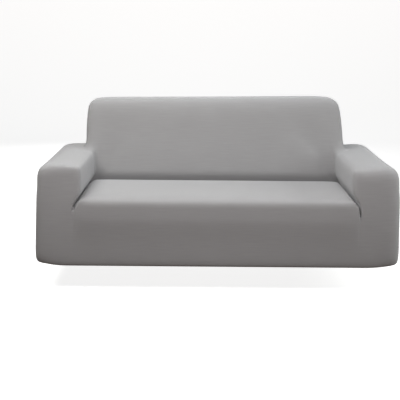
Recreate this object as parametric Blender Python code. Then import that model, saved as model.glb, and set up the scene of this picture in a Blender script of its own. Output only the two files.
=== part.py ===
"""A stretch slipcover for a two-seat sofa: the hollow shell of cloth that the sofa fills.

Metres, +Z up, +X along the width, +Y to the back, the origin at the bottom centre of the cover.
The form is a lattice of boxes: the sofa's base, seat, arms and backrest, with narrow slots where
the cloth is tucked in. The skin of the filled boxes is smoothed, parted into the panels that are
sewn together, and given the thickness of the cloth.
"""

import bmesh
import bpy
import numpy as np
from mathutils import Vector

# Cloth
CLOTH = 0.0025  # thickness
SEAM_GAP = 0.0003  # between the panels, where they are sewn
SMOOTHING = 1  # levels of subdivision

# Hem
HEM_TURN = 0.024  # the width that curls in under the frame
HEM_DRAW = 0.006  # how far the elastic draws the lower edge in
HEM_LIFT = 0.012  # how far the hem rises at the four corners
CORNER_DRAW = 0.014  # how much further in the four corners are drawn

# Levels above the hem
LEVELS = (
    # name          height
    ("hem",         0.000),
    ("hem_top",     0.030),
    ("apron",       0.130),
    ("tuck_floor",  0.258),
    ("seat_top",    0.360),
    ("arm_low",     0.385),
    ("arm_edge",    0.410),
    ("arm_top",     0.498),
    ("back_low",    0.590),
    ("back_high",   0.675),
    ("crest",       0.785),
)

# Lines across the width. Each has its own place at these heights.
LINE_HEIGHTS = (0.0, 0.357, 0.385, 0.498, 0.60, 0.785)
LINES_X = (
    # name              hem     seat    over it  arm top  back    crest
    ("left_side",      -0.914, -0.896, -0.892, -0.887, -0.887, -0.887),
    ("left_arm_mid",   -0.800, -0.790, -0.782, -0.778, -0.778, -0.778),
    ("back_left",      -0.722, -0.718, -0.714, -0.717, -0.721, -0.700),
    ("left_tuck",      -0.712, -0.702, -0.670, -0.666, -0.630, -0.620),
    ("seat_left",      -0.707, -0.697, -0.660, -0.640, -0.540, -0.520),
    ("left_shoulder",  -0.675, -0.668, -0.630, -0.610, -0.470, -0.460),
    ("seat_1",         -0.600, -0.600, -0.570, -0.540, -0.390, -0.380),
    ("seat_2",         -0.400, -0.400, -0.390, -0.370, -0.300, -0.300),
    ("seat_3",         -0.130, -0.130, -0.130, -0.130, -0.110, -0.110),
    ("seat_4",          0.130,  0.130,  0.130,  0.130,  0.110,  0.110),
    ("seat_5",          0.400,  0.400,  0.390,  0.370,  0.300,  0.300),
    ("seat_6",          0.590,  0.590,  0.550,  0.530,  0.390,  0.380),
    ("right_shoulder",  0.664,  0.660,  0.590,  0.560,  0.470,  0.460),
    ("seat_right",      0.690,  0.689,  0.610,  0.590,  0.540,  0.520),
    ("right_tuck",      0.695,  0.694,  0.628,  0.624,  0.612,  0.605),
    ("back_right",      0.712,  0.710,  0.703,  0.702,  0.698,  0.675),
    ("right_arm_mid",   0.790,  0.785,  0.770,  0.765,  0.765,  0.765),
    ("right_side",      0.908,  0.893,  0.889,  0.880,  0.880,  0.880),
)

# Lines from the front to the back, at the same heights
LINES_Y = (
    # name              hem     seat    over it  arm top  back    crest
    ("front",          -0.420, -0.420, -0.420, -0.420, -0.420, -0.420),
    ("front_edge",     -0.320, -0.320, -0.325, -0.330, -0.330, -0.330),
    ("seat_front",     -0.180, -0.180, -0.180, -0.180, -0.180, -0.180),
    ("seat_rear",      -0.020, -0.020, -0.020, -0.020, -0.020, -0.020),
    ("seat_end",        0.100,  0.100,  0.110,  0.110,  0.110,  0.110),
    ("back_front",      0.105,  0.105,  0.119,  0.160,  0.180,  0.225),
    ("back_third",      0.210,  0.210,  0.225,  0.240,  0.255,  0.285),
    ("back_edge",       0.320,  0.320,  0.325,  0.330,  0.335,  0.350),
    ("back",            0.420,  0.420,  0.420,  0.420,  0.418,  0.412),
)

# The crest of the backrest, not quite level
CREST = (
    # x       height
    (-0.700,  0.747),
    (-0.620,  0.762),
    (-0.450,  0.768),
    ( 0.000,  0.774),
    ( 0.420,  0.781),
    ( 0.520,  0.783),
    ( 0.605,  0.781),
    ( 0.675,  0.772),
)

# How far the seat's padding falls off towards its ends
SHOULDER_DROP = {
    "seat_left": 0.028,
    "left_shoulder": 0.006,
    "right_shoulder": 0.002,
    "seat_right": 0.010,
}
SEAT_REAR_DROP = 0.010  # how much lower the seat is where it meets the backrest
SEAT_FRONT_BULGE = 0.013  # how far the padded seat stands ahead of the arms
BACK_BULGE = 0.010  # how far the backrest's padding swells in its middle
LEFT_TUCK_RISE = 0.022  # how much shallower than the others the left tuck is
ARM_CROWN = 0.006  # how much the arms' tops swell along their middle
RIGHT_ARM_RISE = 0.011  # how much higher than the left arm the right one stands at the back
ARM_EDGE_CRISPNESS = 0.05  # brings the arms' inner front edges nearer to a corner

PANELS = (
    "seat_front",
    "inside_back",
    "outside_back",
    "arm_left",
    "arm_right",
    "arm_front_left",
    "arm_front_right",
)
GREY = (0.305, 0.305, 0.315, 1.0)

X = {line[0]: number for number, line in enumerate(LINES_X)}
Y = {line[0]: number for number, line in enumerate(LINES_Y)}
Z = {level[0]: number for number, level in enumerate(LEVELS)}

# For each side of a box, the step to the next box and the side's corners, seen from outside
SIDES = {
    "-x": ((-1, 0, 0), ((0, 0, 0), (0, 0, 1), (0, 1, 1), (0, 1, 0))),
    "+x": ((1, 0, 0), ((1, 0, 0), (1, 1, 0), (1, 1, 1), (1, 0, 1))),
    "-y": ((0, -1, 0), ((0, 0, 0), (1, 0, 0), (1, 0, 1), (0, 0, 1))),
    "+y": ((0, 1, 0), ((0, 1, 0), (0, 1, 1), (1, 1, 1), (1, 1, 0))),
    "+z": ((0, 0, 1), ((0, 0, 1), (1, 0, 1), (1, 1, 1), (0, 1, 1))),
}


def clear_scene():
    for thing in list(bpy.data.objects):
        bpy.data.objects.remove(thing, do_unlink=True)


def filled(i, j, k):
    """Whether the sofa fills the box between lines i, j, k and the next ones."""
    inside = 0 <= i < len(X) - 1 and 0 <= j < len(Y) - 1 and 0 <= k < len(Z) - 1
    base = k < Z["tuck_floor"]
    seat = X["seat_left"] <= i < X["seat_right"] and j < Y["seat_end"] and k < Z["seat_top"]
    arm = not X["left_tuck"] <= i < X["right_tuck"] and k < Z["arm_top"]
    back = X["back_left"] <= i < X["back_right"] and j >= Y["back_front"]
    return inside and (base or seat or arm or back)


def place(i, j, k):
    """Where the lattice's corner i, j, k stands."""
    z = LEVELS[k][1]
    x = float(np.interp(z, LINE_HEIGHTS, LINES_X[i][1:]))
    y = float(np.interp(z, LINE_HEIGHTS, LINES_Y[j][1:]))
    on_seat = k == Z["seat_top"] and X["seat_left"] <= i <= X["seat_right"] and j <= Y["seat_end"]
    if on_seat:
        z -= SHOULDER_DROP.get(LINES_X[i][0], 0.0)
    if on_seat and j == Y["seat_end"]:
        z -= SEAT_REAR_DROP
    if j == 0 and k in (Z["tuck_floor"], Z["seat_top"]) and X["seat_left"] < i < X["seat_right"]:
        y -= SEAT_FRONT_BULGE
    if k == Z["tuck_floor"] and j <= Y["back_front"] and i in (X["left_tuck"], X["seat_left"]):
        z += LEFT_TUCK_RISE
    if j == Y["back_front"] and Z["arm_edge"] <= k <= Z["back_high"] and X["seat_1"] <= i <= X["seat_6"]:
        y -= BACK_BULGE
    if k == Z["crest"]:
        z = float(np.interp(x, [x for x, height in CREST], [height for x, height in CREST]))
    if k == Z["arm_top"] and i in (X["left_arm_mid"], X["right_arm_mid"]):
        z += ARM_CROWN
    if k == Z["arm_top"] and i >= X["right_arm_mid"]:
        z += RIGHT_ARM_RISE * j / Y["back"]
    if j == Y["front_edge"] and k >= Z["seat_top"] and i in (X["left_tuck"], X["right_tuck"]):
        y -= ARM_EDGE_CRISPNESS
    return Vector((x, y, z))


def panel_of(i, j, k, side):
    """The panel that covers this side of the filled box i, j, k."""
    before_seat = X["seat_left"] <= i < X["seat_right"]
    hand = "left" if i < X["seat_left"] else "right"
    between_arms = X["left_tuck"] <= i < X["right_tuck"]
    if side == "+y" and j == Y["back"] - 1:
        return "outside_back"
    if side == "-y" and j == 0:
        return "seat_front" if before_seat else "arm_front_" + hand
    if k >= Z["arm_top"] or (between_arms and j >= Y["back_front"]):
        return "inside_back"
    if between_arms and side == "+z" and j == Y["seat_end"]:
        return "inside_back"
    return "seat_front" if before_seat else "arm_" + hand


def turn_hem(shell):
    """Draws the lower edge in, lifts its corners and curls the hem in under the frame."""
    rim = [edge for edge in shell.edges if edge.is_boundary]
    inward = {}
    for edge in rim:
        face = edge.link_faces[0]
        face.normal_update()
        for vert in edge.verts:
            flat = Vector((face.normal.x, face.normal.y, 0.0)).normalized()
            inward.setdefault(vert, []).append(-flat)
    turned = {}
    for vert, ways in inward.items():
        if ways[0].dot(ways[1]) < 0.5:
            step = ways[0] + ways[1]
            vert.co += step * (HEM_DRAW + CORNER_DRAW)
            vert.co.z += HEM_LIFT
        else:
            step = ways[0]
            vert.co += step * HEM_DRAW
        turned[vert] = shell.verts.new(vert.co + step * HEM_TURN)
    for edge in rim:
        face = edge.link_faces[0]
        loop = next(loop for loop in face.loops if loop.edge == edge)
        first, second = loop.vert, loop.link_loop_next.vert
        strip = shell.faces.new((second, first, turned[first], turned[second]))
        strip.material_index = face.material_index


def cage():
    """The skin of all filled boxes but their undersides, each face marked with its panel."""
    shell = bmesh.new()
    corners = {}
    boxes = [(i, j, k) for i in range(len(X)) for j in range(len(Y)) for k in range(len(Z))]
    for i, j, k in boxes:
        for side, (step, around) in SIDES.items():
            if not filled(i, j, k) or filled(i + step[0], j + step[1], k + step[2]):
                continue
            keys = [(i + a, j + b, k + c) for a, b, c in around]
            for key in keys:
                if key not in corners:
                    corners[key] = shell.verts.new(place(*key))
            face = shell.faces.new([corners[key] for key in keys])
            face.material_index = PANELS.index(panel_of(i, j, k, side))
    turn_hem(shell)
    return shell


def smoothed(shell):
    """The smoothed skin: points, outward normals, and the faces with their panels' numbers."""
    mesh = bpy.data.meshes.new("form")
    shell.to_mesh(mesh)
    form = bpy.data.objects.new("form", mesh)
    bpy.context.scene.collection.objects.link(form)
    smooth = form.modifiers.new("smooth", "SUBSURF")
    smooth.levels = smooth.render_levels = SMOOTHING
    graph = bpy.context.evaluated_depsgraph_get()
    skin = form.evaluated_get(graph).to_mesh()
    points = np.array([vert.co for vert in skin.vertices])
    normals = np.array([vert.normal for vert in skin.vertices])
    faces = [(tuple(face.vertices), face.material_index) for face in skin.polygons]
    bpy.data.objects.remove(form, do_unlink=True)
    return points, normals, faces


def centred(points, normals):
    """The points with the origin at the bottom centre of the box that the cloth fills."""
    both = np.vstack([points, points - normals * CLOTH])
    low, high = both.min(axis=0), both.max(axis=0)
    return points - np.array([(low[0] + high[0]) / 2, (low[1] + high[1]) / 2, low[2]])


def seams_of(faces):
    """The edges where two panels meet."""
    owners = {}
    for corners, panel in faces:
        for first, second in zip(corners, corners[1:] + corners[:1]):
            owners.setdefault(frozenset((first, second)), set()).add(panel)
    return {edge for edge, panels in owners.items() if len(panels) == 2}


def seam_shift(points, normals, rim, seams):
    """How far each point on a seam moves into its own panel: half the gap."""
    ways = {}
    for first, second in rim:
        if frozenset((first, second)) in seams:
            for vert in (first, second):
                way = np.cross(normals[vert], points[second] - points[first])
                ways.setdefault(vert, []).append(way / np.linalg.norm(way))
    shift = {}
    for vert, found in ways.items():
        way = np.mean(found, axis=0)
        shift[vert] = way / max(np.dot(way, way), 0.5) * SEAM_GAP / 2
    return shift


def panel_mesh(name, points, normals, faces, seams):
    """One panel as a closed sheet: its outer face, its inner face and the edge all round."""
    own = [corners for corners, panel in faces if PANELS[panel] == name]
    halves = {pair for face in own for pair in zip(face, face[1:] + face[:1])}
    rim = sorted(pair for pair in halves if pair[::-1] not in halves)
    shift = seam_shift(points, normals, rim, seams)
    used = sorted({vert for face in own for vert in face})
    index = {vert: number for number, vert in enumerate(used)}
    outer = np.array([points[vert] + shift.get(vert, np.zeros(3)) for vert in used])
    inner = outer - normals[used] * CLOTH
    count = len(used)
    sheet = [tuple(index[vert] for vert in face) for face in own]
    sheet += [tuple(index[vert] + count for vert in face[:1] + face[:0:-1]) for face in own]
    for first, second in rim:
        # Both panels of a seam split their edges along the same diagonal, so they stay parallel
        near, far = index[first], index[second]
        if first < second:
            sheet += [(far, near, far + count), (near, near + count, far + count)]
        else:
            sheet += [(far, near, near + count), (far, near + count, far + count)]
    mesh = bpy.data.meshes.new(name)
    mesh.from_pydata(np.vstack([outer, inner]).tolist(), [], sheet)
    mesh.shade_smooth()
    return mesh


def cloth_material(name):
    material = bpy.data.materials.new(name)
    material.use_nodes = True
    surface = material.node_tree.nodes["Principled BSDF"]
    surface.inputs["Base Color"].default_value = GREY
    surface.inputs["Roughness"].default_value = 0.9
    surface.inputs["Metallic"].default_value = 0.0
    return material


def main():
    clear_scene()
    points, normals, faces = smoothed(cage())
    points = centred(points, normals)
    seams = seams_of(faces)
    for name in PANELS:
        panel = bpy.data.objects.new(name, panel_mesh(name, points, normals, faces, seams))
        panel.data.materials.append(cloth_material(name + "_cloth"))
        bpy.context.scene.collection.objects.link(panel)


main()
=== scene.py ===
# A fitted stretch slipcover for a two-seat sofa: seven panels of plain grey knit, sewn
# together and pulled taut, hollow underneath, with the hem drawn in by its elastic.
import math

import bmesh
import bpy
import numpy as np
from mathutils import Matrix, Vector


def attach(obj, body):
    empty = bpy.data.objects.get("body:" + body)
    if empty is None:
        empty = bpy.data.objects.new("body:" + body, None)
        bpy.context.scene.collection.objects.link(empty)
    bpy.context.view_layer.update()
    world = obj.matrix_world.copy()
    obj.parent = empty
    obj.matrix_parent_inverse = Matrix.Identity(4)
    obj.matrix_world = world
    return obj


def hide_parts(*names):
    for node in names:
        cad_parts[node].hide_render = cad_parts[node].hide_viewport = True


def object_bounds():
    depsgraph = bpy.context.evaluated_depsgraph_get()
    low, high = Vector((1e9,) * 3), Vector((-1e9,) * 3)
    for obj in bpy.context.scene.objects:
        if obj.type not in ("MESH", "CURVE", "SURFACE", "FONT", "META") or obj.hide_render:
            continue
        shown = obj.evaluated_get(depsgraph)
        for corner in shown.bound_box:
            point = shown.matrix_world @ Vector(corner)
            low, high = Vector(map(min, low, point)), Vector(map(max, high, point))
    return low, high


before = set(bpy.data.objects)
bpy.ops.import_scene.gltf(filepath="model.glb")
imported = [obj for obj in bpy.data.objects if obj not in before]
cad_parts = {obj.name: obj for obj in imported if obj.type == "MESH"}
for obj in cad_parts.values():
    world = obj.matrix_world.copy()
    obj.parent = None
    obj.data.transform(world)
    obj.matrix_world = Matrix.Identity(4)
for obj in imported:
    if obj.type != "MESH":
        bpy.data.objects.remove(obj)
cadBounds = [list(corner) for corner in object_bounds()]
print("frame loaded:", len(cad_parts), "panels")


# the camera
viewpoint = {
    "place": (-0.105, -4.3694, 1.1949),
    "down": 0.2122,  # radians below the horizon
    "turn": -0.0042,  # radians to the left
    "roll": 0.0096,
    "lens": 75.05,  # millimetres
    "sensor": 36.0,
    "farthest": 60.0,
}


def placeCamera():
    down, turn, roll = viewpoint["down"], viewpoint["turn"], viewpoint["roll"]
    ahead = Vector((-math.sin(turn) * math.cos(down), math.cos(turn) * math.cos(down), -math.sin(down)))
    right = Vector((math.cos(turn), math.sin(turn), 0.0))
    up = right.cross(ahead)
    leanRight = right * math.cos(roll) + up * math.sin(roll)
    leanUp = up * math.cos(roll) - right * math.sin(roll)
    camera = bpy.data.objects.new("camera", bpy.data.cameras.new("camera"))
    axes = Matrix((leanRight, leanUp, -ahead)).transposed()
    camera.matrix_world = Matrix.Translation(viewpoint["place"]) @ axes.to_4x4()
    camera.data.lens = viewpoint["lens"]
    camera.data.sensor_width = viewpoint["sensor"]
    camera.data.clip_end = viewpoint["farthest"]
    bpy.context.scene.collection.objects.link(camera)
    bpy.context.scene.camera = camera


placeCamera()
print("camera placed")


# the form that the sofa gives the cloth: a lattice of boxes stands for the sofa, and
# narrow slots beside the seat and behind it take the tucks
coverForm = {
    "levels": [  # heights in metres above the hem
        ("hem", 0.000), ("hemTop", 0.030), ("apron", 0.130), ("tuckHold", 0.228),
        ("tuckFloor", 0.258), ("tuckMid", 0.312), ("seatTop", 0.360), ("armLow", 0.385),
        ("armEdge", 0.410), ("armTop", 0.498), ("backLow", 0.590), ("backHigh", 0.675),
        ("crest", 0.785),
    ],
    "lineHeights": (0.000, 0.308, 0.360, 0.385, 0.498, 0.600, 0.785),
    "linesAcross": [  # each line's x at those heights
        ("leftSide", -0.914, -0.899, -0.896, -0.892, -0.887, -0.887, -0.887),
        ("leftArmMid", -0.800, -0.792, -0.790, -0.782, -0.778, -0.778, -0.778),
        ("backLeft", -0.732, -0.721, -0.715, -0.720, -0.719, -0.722, -0.710),
        ("leftTuck", -0.722, -0.711, -0.672, -0.670, -0.666, -0.655, -0.650),
        ("seatLeft", -0.717, -0.706, -0.666, -0.650, -0.640, -0.580, -0.560),
        ("leftEdge", -0.707, -0.696, -0.654, -0.630, -0.600, -0.520, -0.500),
        ("leftShoulder", -0.670, -0.660, -0.622, -0.600, -0.560, -0.440, -0.430),
        ("seat1", -0.600, -0.590, -0.570, -0.560, -0.500, -0.360, -0.350),
        ("seat2", -0.400, -0.390, -0.380, -0.370, -0.340, -0.250, -0.250),
        ("seatMid", 0.000, 0.000, 0.000, 0.000, 0.000, 0.000, 0.000),
        ("seat5", 0.400, 0.390, 0.380, 0.370, 0.340, 0.250, 0.250),
        ("seat6", 0.580, 0.575, 0.570, 0.560, 0.500, 0.360, 0.350),
        ("rightShoulder", 0.640, 0.640, 0.620, 0.600, 0.555, 0.440, 0.430),
        ("rightEdge", 0.684, 0.686, 0.646, 0.620, 0.590, 0.520, 0.500),
        ("seatRight", 0.690, 0.692, 0.656, 0.640, 0.625, 0.570, 0.550),
        ("rightTuck", 0.694, 0.696, 0.661, 0.652, 0.644, 0.625, 0.605),
        ("backRight", 0.701, 0.702, 0.690, 0.700, 0.702, 0.698, 0.675),
        ("rightArmMid", 0.790, 0.786, 0.784, 0.770, 0.765, 0.765, 0.765),
        ("rightSide", 0.908, 0.896, 0.893, 0.889, 0.880, 0.880, 0.880),
    ],
    "linesBack": [  # each line's y at those heights
        ("front", -0.420, -0.420, -0.420, -0.420, -0.420, -0.420, -0.420),
        ("frontEdge", -0.320, -0.320, -0.320, -0.325, -0.330, -0.330, -0.330),
        ("seatFront", -0.180, -0.180, -0.180, -0.180, -0.180, -0.180, -0.180),
        ("seatRear", 0.030, 0.030, 0.030, 0.030, 0.030, 0.030, 0.030),
        ("seatEnd", 0.080, 0.080, 0.080, 0.080, 0.080, 0.080, 0.080),
        ("backFront", 0.105, 0.140, 0.127, 0.126, 0.148, 0.172, 0.225),
        ("backThird", 0.210, 0.210, 0.215, 0.225, 0.240, 0.255, 0.285),
        ("backEdge", 0.320, 0.320, 0.322, 0.325, 0.330, 0.335, 0.350),
        ("back", 0.420, 0.420, 0.420, 0.420, 0.420, 0.418, 0.412),
    ],
    "crest": [  # the backrest's top edge: x, height
        (-0.710, 0.754), (-0.650, 0.766), (-0.450, 0.769), (0.000, 0.774),
        (0.420, 0.781), (0.520, 0.783), (0.605, 0.781), (0.675, 0.772),
    ],
    # how much lower the seat is at its ends, and at its front and rear
    "shoulderDrop": {"seatLeft": 0.012, "leftEdge": 0.006, "rightEdge": 0.006, "seatRight": 0.014},
    "seatDrop": {"front": 0.020, "frontEdge": 0.005, "seatEnd": 0.020},
    "endDropShare": 0.5,  # the share of the front's and rear's drop at the ends
    "seatFrontBulge": 0.013,  # how far the padded seat stands ahead of the arms
    "edgeBulge": 0.5,  # the share of that beside the slots
    "backBulge": {  # how far the backrest's padding swells at each level
        "seatTop": 0.010, "armLow": 0.010, "armEdge": 0.010, "armTop": 0.010,
        "backLow": 0.008, "backHigh": 0.005,
    },
    "tuckRise": {  # how much higher the tucks end than their levels
        "leftTuck": {"tuckHold": 0.040, "tuckFloor": 0.042, "tuckMid": 0.018},
        "seatLeft": {"tuckHold": 0.040, "tuckFloor": 0.042, "tuckMid": 0.018},
        "seatRight": {"tuckHold": 0.008, "tuckFloor": 0.008},
        "rightTuck": {"tuckHold": 0.008, "tuckFloor": 0.008},
    },
    "frontRollDrop": 0.020,  # how much lower the seat's front starts to round than its ends do
    # how much higher the round of the arms' front edges starts, and how much they swell
    "armRollRise": {"leftArmMid": 0.035, "backLeft": 0.035, "leftTuck": 0.030},
    "armFrontRise": {
        "leftSide": 0.005, "leftArmMid": 0.005, "backLeft": 0.005, "leftTuck": 0.005,
        "rightArmMid": 0.003, "rightSide": 0.008,
    },
    "backRollRise": 0.034,  # keeps the round of the backrest's top edge tight
    "armCrown": 0.006,  # how much the arms' tops swell along their middle
    "rightArmRise": 0.011,  # how much higher the right arm stands at the back
    "frontCrispness": 0.05,  # how much nearer the front the cloth starts to round
    "hemTurn": 0.024,  # how much cloth curls in under the frame
    "hemDraw": 0.006,  # how far the elastic draws the lower edge in
    "hemLift": 0.012,  # how far the hem rises at the four corners
    "cornerDraw": 0.014,  # how much further in the four corners are drawn
    "smoothing": 4,  # levels of subdivision
    "plainSmoothing": 3,  # for the outside of the back, which has little shape
}

lineX = {line[0]: number for number, line in enumerate(coverForm["linesAcross"])}
lineY = {line[0]: number for number, line in enumerate(coverForm["linesBack"])}
levelZ = {level[0]: number for number, level in enumerate(coverForm["levels"])}

panelNames = [
    "seat_front", "inside_back", "outside_back", "arm_left", "arm_right",
    "arm_front_left", "arm_front_right",
]

# each side of a box: the step to its neighbour, and its corners seen from outside
boxSides = {
    "left": ((-1, 0, 0), ((0, 0, 0), (0, 0, 1), (0, 1, 1), (0, 1, 0))),
    "right": ((1, 0, 0), ((1, 0, 0), (1, 1, 0), (1, 1, 1), (1, 0, 1))),
    "front": ((0, -1, 0), ((0, 0, 0), (1, 0, 0), (1, 0, 1), (0, 0, 1))),
    "back": ((0, 1, 0), ((0, 1, 0), (0, 1, 1), (1, 1, 1), (1, 1, 0))),
    "top": ((0, 0, 1), ((0, 0, 1), (1, 0, 1), (1, 1, 1), (0, 1, 1))),
}


def isFilled(i, j, k):
    # whether the sofa fills the box after these lines
    inside = 0 <= i < len(lineX) - 1 and 0 <= j < len(lineY) - 1 and 0 <= k < len(levelZ) - 1
    base = k < levelZ["tuckFloor"]
    acrossSeat = lineX["seatLeft"] <= i < lineX["seatRight"]
    seat = acrossSeat and j < lineY["seatEnd"] and k < levelZ["seatTop"]
    arm = not lineX["leftTuck"] <= i < lineX["rightTuck"] and k < levelZ["armTop"]
    backrest = lineX["backLeft"] <= i < lineX["backRight"] and j >= lineY["backFront"]
    return inside and (base or seat or arm or backrest)


def cornerPlace(i, j, k):
    # where three lines of the lattice meet, with the padding's unevenness
    form = coverForm
    level, z = form["levels"][k]
    across, along = form["linesAcross"][i][0], form["linesBack"][j][0]
    if j <= lineY["backFront"]:
        z += form["tuckRise"].get(across, {}).get(level, 0.0)
    x = float(np.interp(z, form["lineHeights"], form["linesAcross"][i][1:]))
    y = float(np.interp(z, form["lineHeights"], form["linesBack"][j][1:]))
    acrossSeat = lineX["seatLeft"] <= i <= lineX["seatRight"]
    if level == "seatTop" and acrossSeat and j <= lineY["seatEnd"]:
        z -= form["shoulderDrop"].get(across, 0.0)
        share = 1.0 if lineX["leftShoulder"] <= i <= lineX["rightShoulder"] else form["endDropShare"]
        z -= share * form["seatDrop"].get(along, 0.0)
    onApron = levelZ["tuckHold"] <= k <= levelZ["seatTop"] and lineX["seatLeft"] < i < lineX["seatRight"]
    if j == 0 and onApron:
        y -= form["seatFrontBulge"] * (form["edgeBulge"] if across in ("leftEdge", "rightEdge") else 1.0)
    if along == "backFront" and lineX["seat1"] <= i <= lineX["seat6"]:
        y -= form["backBulge"].get(level, 0.0)
    if j == 0 and level == "tuckMid" and lineX["leftShoulder"] <= i <= lineX["rightShoulder"]:
        z -= form["frontRollDrop"]
    if j == 0 and level == "armEdge":
        z += form["armRollRise"].get(across, 0.0)
    if level == "armTop" and j <= lineY["frontEdge"]:
        z += form["armFrontRise"].get(across, 0.0)
    if level == "backHigh" and along == "backFront" and acrossSeat:
        z += form["backRollRise"]
    if level == "crest":
        z = float(np.interp(x, *zip(*form["crest"])))
    if level == "armTop" and across in ("leftArmMid", "rightArmMid"):
        z += form["armCrown"]
    if level == "armTop" and i >= lineX["rightArmMid"]:
        z += form["rightArmRise"] * j / lineY["back"]
    if along == "frontEdge" and k >= levelZ["seatTop"] and 0 < i <= lineX["rightTuck"]:
        y -= form["frontCrispness"]
    return Vector((x, y, z))


def panelFor(i, j, k, side):
    # which panel covers this side of a box
    beforeSeat = lineX["seatLeft"] <= i < lineX["seatRight"]
    betweenArms = lineX["leftTuck"] <= i < lineX["rightTuck"]
    hand = "left" if i < lineX["seatLeft"] else "right"
    if side == "back" and j == lineY["back"] - 1:
        return "outside_back"
    if side == "front" and j == 0:
        return "seat_front" if beforeSeat else "arm_front_" + hand
    if k >= levelZ["armTop"] or (betweenArms and j >= lineY["backFront"]):
        return "inside_back"
    if betweenArms and side == "top" and j == lineY["seatEnd"]:
        return "inside_back"
    return "seat_front" if beforeSeat else "arm_" + hand


def lengthsAlong(corners):
    # how far along the cloth each corner of a path lies
    lengths, total = {corners[0]: 0.0}, 0.0
    for before, after in zip(corners, corners[1:]):
        total += (cornerPlace(*after) - cornerPlace(*before)).length
        lengths[after] = total
    return lengths


def sleevePaths():
    # the way round each arm at every line: up its outside, over its top, down into the tuck
    paths = {}
    floor, arm = levelZ["tuckFloor"], levelZ["armTop"]
    for j in range(len(lineY)):
        for panel, outer, steps in (
            ("arm_left", 0, range(1, lineX["leftTuck"] + 1)),
            ("arm_right", len(lineX) - 1, range(len(lineX) - 2, lineX["rightTuck"] - 1, -1)),
        ):
            inner = steps[-1]
            past = inner + (1 if outer == 0 else -1)
            over = [(outer, j, k) for k in range(arm + 1)]
            over += [(i, j, arm) for i in steps]
            over += [(inner, j, k) for k in range(arm - 1, floor - 1, -1)]
            over += [(past, j, floor)]
            paths[panel, j] = lengthsAlong(over)
    return paths


knitPaths = sleevePaths()


def knitPlace(panel, side, i, j, k):
    # where this corner of a side lies on the flat cloth, in metres
    point = cornerPlace(i, j, k)
    if panel in ("arm_left", "arm_right"):
        return point.y, knitPaths[panel, j].get((i, j, k), point.z)
    if panel == "seat_front":
        front = cornerPlace(i, 0, levelZ["seatTop"])
        top = cornerPlace(i, j, levelZ["seatTop"])
        hang = top.z - point.z
        if side in ("left", "right"):
            return point.x + (-hang if side == "left" else hang), front.z + top.y - front.y
        if side == "front":
            return point.x, point.z
        return point.x, front.z + top.y - front.y + (hang if side == "back" else 0.0)
    if panel == "inside_back":
        front = cornerPlace(i, lineY["backFront"], k)
        reach = point.y - front.y
        if side in ("left", "right"):
            return point.x + (-reach if side == "left" else reach), point.z
        return point.x, point.z + (reach if side == "top" else 0.0)
    return point.x, point.z


def turnUnderHem(shell, knit):
    # the elastic draws the edge in, lifts its corners and curls the hem under the frame
    form = coverForm
    rim = [edge for edge in shell.edges if edge.is_boundary]
    inward = {}
    for edge in rim:
        face = edge.link_faces[0]
        face.normal_update()
        flat = Vector((face.normal.x, face.normal.y, 0.0)).normalized()
        for vert in edge.verts:
            inward.setdefault(vert, []).append(-flat)
    turned = {}
    for vert, ways in inward.items():
        atCorner = ways[0].angle(ways[1]) > math.radians(60.0)
        step = ways[0] + ways[1] if atCorner else ways[0]
        vert.co += step * (form["hemDraw"] + (form["cornerDraw"] if atCorner else 0.0))
        vert.co.z += form["hemLift"] if atCorner else 0.0
        turned[vert] = shell.verts.new(vert.co + step * form["hemTurn"])
    for edge in rim:
        face = edge.link_faces[0]
        loop = next(loop for loop in face.loops if loop.edge == edge)
        following = loop.link_loop_next
        strip = shell.faces.new((following.vert, loop.vert, turned[loop.vert], turned[following.vert]))
        strip.material_index = face.material_index
        down = Vector((0.0, form["hemTurn"]))
        places = (following[knit].uv, loop[knit].uv, loop[knit].uv - down, following[knit].uv - down)
        for corner, spot in zip(strip.loops, places):
            corner[knit].uv = spot


def buildCage():
    # the outside of the filled boxes, with each face's panel and its place on the cloth
    shell = bmesh.new()
    knit = shell.loops.layers.uv.new("knit")
    corners = {}
    boxes = [(i, j, k) for i in range(len(lineX)) for j in range(len(lineY)) for k in range(len(levelZ))]
    for i, j, k in boxes:
        for side, (step, around) in boxSides.items():
            if not isFilled(i, j, k) or isFilled(i + step[0], j + step[1], k + step[2]):
                continue
            keys = [(i + a, j + b, k + c) for a, b, c in around]
            for key in keys:
                if key not in corners:
                    corners[key] = shell.verts.new(cornerPlace(*key))
            face = shell.faces.new([corners[key] for key in keys])
            panel = panelFor(i, j, k, side)
            face.material_index = panelNames.index(panel)
            for loop, key in zip(face.loops, keys):
                loop[knit].uv = knitPlace(panel, side, *key)
    turnUnderHem(shell, knit)
    return shell


def readSkin(form, levels):
    # the smoothed form as arrays: points, normals, four corners a face, their knit places, panels
    smooth = form.modifiers["smooth"]
    smooth.levels = smooth.render_levels = levels
    mesh = form.evaluated_get(bpy.context.evaluated_depsgraph_get()).to_mesh()
    points = np.empty(len(mesh.vertices) * 3)
    normals = np.empty(len(mesh.vertices) * 3)
    faces = np.empty(len(mesh.loops), np.int64)
    spots = np.empty(len(mesh.loops) * 2)
    panels = np.empty(len(mesh.polygons), np.int64)
    mesh.vertices.foreach_get("co", points)
    mesh.vertices.foreach_get("normal", normals)
    mesh.loops.foreach_get("vertex_index", faces)
    mesh.uv_layers["knit"].data.foreach_get("uv", spots)
    mesh.polygons.foreach_get("material_index", panels)
    return {
        "points": points.reshape(-1, 3),
        "normals": normals.reshape(-1, 3),
        "faces": faces.reshape(-1, 4),
        "spots": spots.reshape(-1, 4, 2),
        "panels": panels,
    }


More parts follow.
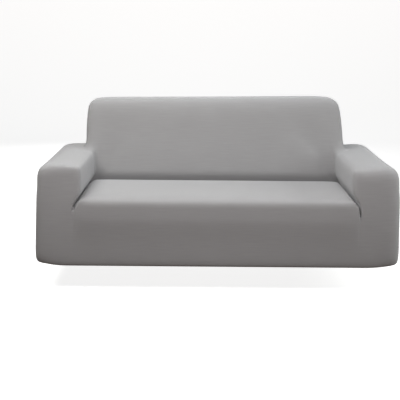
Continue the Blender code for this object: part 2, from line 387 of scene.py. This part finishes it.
def smoothForm(shell):
    # the fine skin and the plainer one, both centred on the solids
    mesh = bpy.data.meshes.new("form")
    shell.to_mesh(mesh)
    shell.free()
    form = bpy.data.objects.new("form", mesh)
    bpy.context.scene.collection.objects.link(form)
    form.modifiers.new("smooth", "SUBSURF")
    fine, plain = (readSkin(form, coverForm[detail]) for detail in ("smoothing", "plainSmoothing"))
    bpy.data.objects.remove(form, do_unlink=True)
    middle = (fine["points"].min(axis=0) + fine["points"].max(axis=0)) / 2
    cadLow, cadHigh = (np.array(corner) for corner in cadBounds)
    for skin in (fine, plain):
        skin["points"] += (cadLow + cadHigh) / 2 - middle
    return fine, plain


fineSkin, plainSkin = smoothForm(buildCage())
print("form smoothed:", len(fineSkin["faces"]), "faces, or", len(plainSkin["faces"]), "where it is plain")


# soft folds: each is a line over the cloth that sinks the cloth beside it or lifts it, in
# metres, and fades at its ends by the shares given
softFolds = [
    # beside the seat's front corners, where the tuck ends and the apron is pulled across
    {"line": [(-0.709, -0.424, 0.312), (-0.722, -0.424, 0.290)],
     "width": 0.008, "rise": -0.0008, "fade": (0.0, 1.0)},
    {"line": [(0.693, -0.424, 0.290), (0.694, -0.424, 0.262)],
     "width": 0.007, "rise": -0.0010, "fade": (0.0, 1.0)},
    # along the inner edge of each arm's front, beside its roll
    {"line": [(0.676, -0.425, 0.478), (0.685, -0.425, 0.335)],
     "width": 0.009, "rise": -0.0014, "fade": (1.0, 1.0)},
    {"line": [(-0.698, -0.425, 0.480), (-0.702, -0.425, 0.340)],
     "width": 0.009, "rise": -0.0010, "fade": (1.0, 1.0)},
    # pulls that start where the backrest meets the seat
    {"line": [(-0.030, 0.107, 0.345), (-0.027, 0.115, 0.365)],
     "width": 0.032, "rise": -0.0070, "fade": (0.0, 0.6)},
    {"line": [(0.155, 0.107, 0.345), (0.160, 0.115, 0.360)],
     "width": 0.028, "rise": -0.0040, "fade": (0.0, 0.6)},
    # a shallow dip under the backrest's top edge
    {"line": [(-0.110, 0.205, 0.700), (0.010, 0.205, 0.698)],
     "width": 0.026, "rise": -0.0010, "fade": (1.0, 1.0)},
]


def foldRise(fold, points):
    # how far one fold lifts each point
    start, end = (np.array(place) for place in fold["line"])
    run = end - start
    along = np.clip((points - start) @ run / (run @ run), 0.0, 1.0)
    away = np.linalg.norm(points - (start + along[:, None] * run), axis=1) / fold["width"]
    near, far = fold["fade"]
    taper = (1 - near * (1 - along) ** 2) * (1 - far * along ** 2)
    return fold["rise"] * np.exp(-away ** 2) * taper


def normalsOf(points, faces):
    # smooth normals, each face counting by its size
    corner = points[faces]
    ways = np.cross(corner[:, 2] - corner[:, 0], corner[:, 3] - corner[:, 1])
    sums = [np.bincount(faces.reshape(-1), np.repeat(ways[:, axis], 4), len(points)) for axis in range(3)]
    total = np.stack(sums, axis=1)
    return total / np.linalg.norm(total, axis=1)[:, None]


def pressFolds(skin):
    # move the skin by its folds, and shade it as it then lies
    rise = sum(foldRise(fold, skin["points"]) for fold in softFolds)
    skin["points"] = skin["points"] + skin["normals"] * rise[:, None]
    skin["normals"] = normalsOf(skin["points"], skin["faces"])


for skin in (fineSkin, plainSkin):
    pressFolds(skin)
print("folds pressed:", len(softFolds))


# the sewn panels
clothSheet = {
    "thickness": 0.0016,
    # how far from a seam the cloth lies flat again, and how far the seam pulls it in
    "edgeSeam": (0.0014, 0.0010),
    "frontSeam": (0.0006, 0.0002),  # where a facing meets the apron, in one plane
    "edgeShare": 0.5,  # the most that a seam takes of the faces beside it
}


def rimOf(own, count):
    # the directed edges of these faces that no neighbour shares
    edges = np.concatenate([own[:, [a, (a + 1) % 4]] for a in range(4)])
    keys = edges[:, 0] * count + edges[:, 1]
    back = edges[:, 1] * count + edges[:, 0]
    return edges[~np.isin(keys, back)]


def inwardAlong(rim, points, normals):
    # the way over the cloth that leads in from each point of the rim, and those points
    inward = np.zeros_like(points)
    for a, b in rim:
        way = np.cross(normals[a] + normals[b], points[b] - points[a])
        inward[[a, b]] += way / np.linalg.norm(way)
    ring = np.flatnonzero(np.abs(inward).sum(axis=1))
    inward[ring] /= np.linalg.norm(inward[ring], axis=1)[:, None]
    return inward, ring


def roomBeside(ring, points, own):
    # each point's shortest way to a point that isn't on the rim
    room = np.full(len(points), np.inf)
    for a in range(4):
        one, other = own[:, a], own[:, (a + 1) % 4]
        span = np.linalg.norm(points[one] - points[other], axis=1)
        for near, far in ((one, other), (other, one)):
            inside = ~np.isin(far, ring)
            np.minimum.at(room, near[inside], span[inside])
    return room


def sewSheet(name, skin):
    # one panel as a closed sheet: its face, its back, and an edge that dips at the seams
    mine = skin["panels"] == panelNames.index(name)
    used, own = np.unique(skin["faces"][mine], return_inverse=True)
    own = own.reshape(-1, 4)
    outer, facing = skin["points"][used].copy(), skin["normals"][used]
    count = len(used)
    rim = rimOf(own, count)
    inward, ring = inwardAlong(rim, outer, facing)
    room = clothSheet["edgeShare"] * roomBeside(ring, outer, own)
    share = np.minimum(room[:, None] / clothSheet["edgeSeam"][0], 1.0)
    seamWidth, seamDepth = (skin["seamPulls"][used] * share).T[:, :, None]
    seam = outer - facing * seamDepth
    outer += inward * seamWidth
    back = facing * clothSheet["thickness"]
    # the points in order: the face, its back, and the ring at the rim of each
    places = np.vstack([outer, outer - back, seam[ring], (seam - back)[ring]])
    shading = np.vstack([facing, -facing, facing[ring], -facing[ring]])
    mapped = skin["spots"][mine]
    flatSpot = np.zeros((count, 2))
    flatSpot[own.reshape(-1)] = mapped.reshape(-1, 2)
    number = np.zeros(count, np.int64)
    number[ring] = np.arange(len(ring))
    a, b = rim.T
    edgeA, edgeB = number[a] + 2 * count, number[b] + 2 * count
    backA, backB = edgeA + len(ring), edgeB + len(ring)
    # from the face over the seam, across the cut edge, and on to the back
    bands = ((b, a, edgeA, edgeB), (edgeB, edgeA, backA, backB), (backB, backA, a + count, b + count))
    corners = np.vstack([own, own[:, ::-1] + count] + [np.stack(band, axis=1) for band in bands])
    coords = [mapped, mapped[:, ::-1]] + [flatSpot[np.stack([b, a, a, b], axis=1)]] * len(bands)
    mesh = bpy.data.meshes.new(name + "_cloth")
    mesh.from_pydata(places.tolist(), [], corners.tolist())
    layer = mesh.uv_layers.new(name="knit")
    layer.data.foreach_set("uv", np.vstack(coords).reshape(-1))
    mesh.shade_smooth()
    # the cut edge is shaded as it lies, and the rest keeps the whole cover's normals
    firstCut = len(own) * 2 + len(rim)
    held = shading[corners]
    held[firstCut:firstCut + len(rim)] = 0.0
    mesh.normals_split_custom_set(held.reshape(-1, 3).tolist())
    piece = bpy.data.objects.new(name + "_cloth", mesh)
    bpy.context.scene.collection.objects.link(piece)
    return piece


def pullSeams(skin):
    # each point's seam width and depth: nothing where no two panels meet
    touching = np.zeros((len(skin["points"]), len(panelNames)), bool)
    touching[skin["faces"].reshape(-1), np.repeat(skin["panels"], 4)] = True
    pulls = np.zeros((len(touching), 2))
    pulls[touching.sum(axis=1) > 1] = clothSheet["edgeSeam"]
    front = [panelNames.index(name) for name in ("seat_front", "arm_front_left", "arm_front_right")]
    betweenFronts = (touching[:, front].sum(axis=1) == 2) & (touching.sum(axis=1) == 2)
    pulls[betweenFronts] = clothSheet["frontSeam"]
    skin["seamPulls"] = pulls


for skin in (fineSkin, plainSkin):
    pullSeams(skin)
sheets = {name: sewSheet(name, plainSkin if name == "outside_back" else fineSkin) for name in panelNames}
print("panels sewn:", ", ".join(sheets))


# the knit
knitLook = {
    "cloth": "#9f9e9e",
    "shade": "#999898",  # the darker yarn of the heather
    "stitch": 0.0026,  # real stitches are 1.2 mm wide; drawn 2.6 mm wide so that they show
    "course": 0.8,  # a stitch's height as a share of its width
    "rib": 0.25,  # how much the loops stand out on the legs of the stitches
    "depth": 0.0006,  # metres, of the relief
    "depthShare": 0.35,
    "streaks": (9.0, 240.0, 1.0),  # streaks to the metre, along the courses and across them
    "dye": 7.0,  # patches to the metre
    "dyeShare": 0.4,
    "mottle": (0.45, 1.15),  # the noise that gives the darker yarn, and the lighter
    "roughness": 0.92,
    "specular": 0.25,
    "fuzz": 0.30,
    "fuzzRoughness": 0.45,
    "fuzzTint": "#f4f4f6",
}


def linear(colour):
    # an sRGB hex value as linear red, green, blue and alpha
    parts = [int(colour[place:place + 2], 16) / 255 for place in (1, 3, 5)]
    return [part / 12.92 if part <= 0.04045 else ((part + 0.055) / 1.055) ** 2.4 for part in parts] + [1.0]


def addNode(tree, kind, settings=None, **links):
    # a node with its settings; each input, by its name or _number, takes a node, an output or a value
    node = tree.nodes.new(kind)
    for name, value in (settings or {}).items():
        setattr(node, name, value)
    for name, value in links.items():
        socket = node.inputs[int(name[1:]) if name[0] == "_" else name.replace("_", " ")]
        if isinstance(value, bpy.types.Node):
            value = value.outputs[0]
        if isinstance(value, bpy.types.NodeSocket):
            tree.links.new(value, socket)
        else:
            socket.default_value = value
    return node


def makeKnit():
    # polyester and elastane jersey, weft knitted: matt, softly fuzzy at grazing light, in fine
    # columns of stitches
    look = knitLook
    material = bpy.data.materials.new("greyStretchJersey")
    material.use_nodes = True
    tree = material.node_tree
    surface = tree.nodes["Principled BSDF"]
    flat = addNode(tree, "ShaderNodeUVMap", {"uv_map": "knit"})
    place = addNode(tree, "ShaderNodeSeparateXYZ", _0=flat).outputs
    # the two legs of each stitch, and the loops that slant along them
    column = addNode(tree, "ShaderNodeMath", {"operation": "DIVIDE"}, _0=place["X"], _1=look["stitch"])
    leg = addNode(tree, "ShaderNodeMath", {"operation": "PINGPONG"}, _0=column, _1=0.5)
    height = look["stitch"] * look["course"]
    course = addNode(tree, "ShaderNodeMath", {"operation": "DIVIDE"}, _0=place["Y"], _1=height)
    slant = addNode(tree, "ShaderNodeMath", {"operation": "ADD"}, _0=course, _1=leg)
    turn = addNode(tree, "ShaderNodeMath", {"operation": "MULTIPLY"}, _0=slant, _1=math.tau)
    loops = addNode(tree, "ShaderNodeMath", {"operation": "SINE"}, _0=turn)
    relief = addNode(tree, "ShaderNodeMath", {"operation": "MULTIPLY_ADD"}, _0=loops, _1=look["rib"], _2=leg)
    bump = addNode(tree, "ShaderNodeBump", Strength=look["depthShare"], Distance=look["depth"], Height=relief)
    # uneven yarn makes faint streaks along the courses, and the dye takes a little unevenly
    inPlane = {"noise_dimensions": "2D"}
    along = addNode(tree, "ShaderNodeMapping", Vector=flat, Scale=look["streaks"])
    yarn = addNode(tree, "ShaderNodeTexNoise", inPlane, Vector=along, Scale=1.0, Detail=2.0)
    dye = addNode(tree, "ShaderNodeTexNoise", inPlane, Vector=flat, Scale=look["dye"], Detail=4.0)
    uneven = addNode(tree, "ShaderNodeMath", {"operation": "MULTIPLY_ADD"},
                     _0=dye.outputs["Fac"], _1=look["dyeShare"], _2=yarn.outputs["Fac"])
    darkest, lightest = look["mottle"]
    share = addNode(tree, "ShaderNodeMapRange", Value=uneven, From_Min=darkest, From_Max=lightest)
    colour = addNode(tree, "ShaderNodeMix", {"data_type": "RGBA"},
                     _0=share, _6=linear(look["shade"]), _7=linear(look["cloth"]))
    tree.links.new(colour.outputs[2], surface.inputs["Base Color"])
    tree.links.new(bump.outputs[0], surface.inputs["Normal"])
    surface.inputs["Roughness"].default_value = look["roughness"]
    surface.inputs["Specular IOR Level"].default_value = look["specular"]
    surface.inputs["Sheen Weight"].default_value = look["fuzz"]
    surface.inputs["Sheen Roughness"].default_value = look["fuzzRoughness"]
    surface.inputs["Sheen Tint"].default_value = linear(look["fuzzTint"])
    return material


knit = makeKnit()
for name, sheet in sheets.items():
    sheet.data.materials.append(knit)
    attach(sheet, "root")
    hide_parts(name)
print("knit on", len(sheets), "panels")


# floor and light
studio = {
    "floorHeight": -0.146,  # where the covered sofa's feet stand
    "halfWidth": 24.0,
    "near": -30.0,
    "far": 5.0,  # where the floor sweeps up into the backdrop
    "sweepRadius": 2.0,
    "sweepSteps": 16,
    "top": 7.0,
    "paint": "#e9e8e6",
    "paintRoughness": 0.9,
    "paintSpecular": 0.1,
    "glow": 0.86,  # the sweep's own light, which keeps it pale where no lamp reaches
    "groundGlow": "#827973",  # the dim warm light from below
    "beyond": "#f6f5f4",  # what shows past the sweep's edges
}

softLights = [
    # name, place, aims at, width, height, watts, colour
    ("overLeft", (-1.6, -0.6, 2.8), (-0.2, 0.0, 0.3), 1.6, 1.6, 46.6, "#fffffb"),
    ("rightSide", (3.2, -0.4, 1.3), (0.0, -0.1, 0.4), 1.2, 1.2, 46.0, "#fafffe"),
    ("fromBack", (0.0, 1.8, 2.6), (0.0, 0.0, 0.5), 3.0, 1.0, 7.0, "#fffcf0"),
    ("overBack", (0.0, 0.6, 2.8), (0.0, 0.0, 0.3), 3.0, 1.2, 35.5, "#f6faff"),
    ("nearFront", (0.0, -1.5, 1.35), (0.0, -0.4, 0.2), 3.0, 0.3, 24.8, "#fffdff"),
    ("behind", (-1.2, 4.2, 1.9), (0.0, 0.4, 0.3), 2.0, 1.4, 30.0, "#ffffff"),
]


def addLight(name, place, target, width, height, watts, colour):
    light = bpy.data.lights.new(name, "AREA")
    light.shape = "RECTANGLE"
    light.size, light.size_y = width, height
    light.energy = watts
    light.color = linear(colour)[:3]
    lamp = bpy.data.objects.new(name, light)
    lamp.location = place
    lamp.rotation_euler = (Vector(target) - Vector(place)).to_track_quat("-Z", "Y").to_euler()
    lamp.visible_camera = False
    bpy.context.scene.collection.objects.link(lamp)


def buildSweep():
    # a floor that curves up into a backdrop, in one piece, and puts no light on the cloth
    floor, reach = studio["floorHeight"], studio["halfWidth"]
    radius, far = studio["sweepRadius"], studio["far"]
    line = [(studio["near"], floor)]
    for step in range(studio["sweepSteps"] + 1):
        turn = step / studio["sweepSteps"] * math.pi / 2
        line.append((far + radius * math.sin(turn), floor + radius * (1 - math.cos(turn))))
    line.append((far + radius, studio["top"]))
    places = [(side * reach, y, z) for y, z in line for side in (-1, 1)]
    strips = [(2 * n, 2 * n + 1, 2 * n + 3, 2 * n + 2) for n in range(len(line) - 1)]
    mesh = bpy.data.meshes.new("sweep")
    mesh.from_pydata(places, [], strips)
    mesh.shade_smooth()
    sweep = bpy.data.objects.new("sweep", mesh)
    bpy.context.scene.collection.objects.link(sweep)
    # emulsion paint, rolled on: matt and even, with hardly a highlight
    paint = bpy.data.materials.new("mattWhitePaint")
    paint.use_nodes = True
    surface = paint.node_tree.nodes["Principled BSDF"]
    surface.inputs["Base Color"].default_value = linear(studio["paint"])
    surface.inputs["Roughness"].default_value = studio["paintRoughness"]
    surface.inputs["Specular IOR Level"].default_value = studio["paintSpecular"]
    surface.inputs["Emission Color"].default_value = (1.0, 1.0, 1.0, 1.0)
    surface.inputs["Emission Strength"].default_value = studio["glow"]
    mesh.materials.append(paint)
    sweep.visible_diffuse = False
    sweep.visible_glossy = False


def lightRoom():
    # soft lamps all round, and a dim glow from the ground
    world = bpy.data.worlds.new("studio")
    bpy.context.scene.world = world
    world.use_nodes = True
    tree = world.node_tree
    away = addNode(tree, "ShaderNodeTexCoord").outputs["Generated"]
    height = addNode(tree, "ShaderNodeSeparateXYZ", _0=away).outputs["Z"]
    below = addNode(tree, "ShaderNodeMath", {"operation": "LESS_THAN"}, _0=height, _1=0.0)
    glow = addNode(tree, "ShaderNodeMix", {"data_type": "RGBA"},
                   _0=below, _6=(0.0, 0.0, 0.0, 1.0), _7=linear(studio["groundGlow"]))
    seen = addNode(tree, "ShaderNodeLightPath").outputs["Is Camera Ray"]
    sky = addNode(tree, "ShaderNodeMix", {"data_type": "RGBA"},
                  _0=seen, _6=glow.outputs[2], _7=linear(studio["beyond"]))
    tree.links.new(sky.outputs[2], tree.nodes["Background"].inputs["Color"])
    for light in softLights:
        addLight(*light)
    bpy.context.scene.view_settings.view_transform = "Standard"


buildSweep()
lightRoom()
print("studio built")
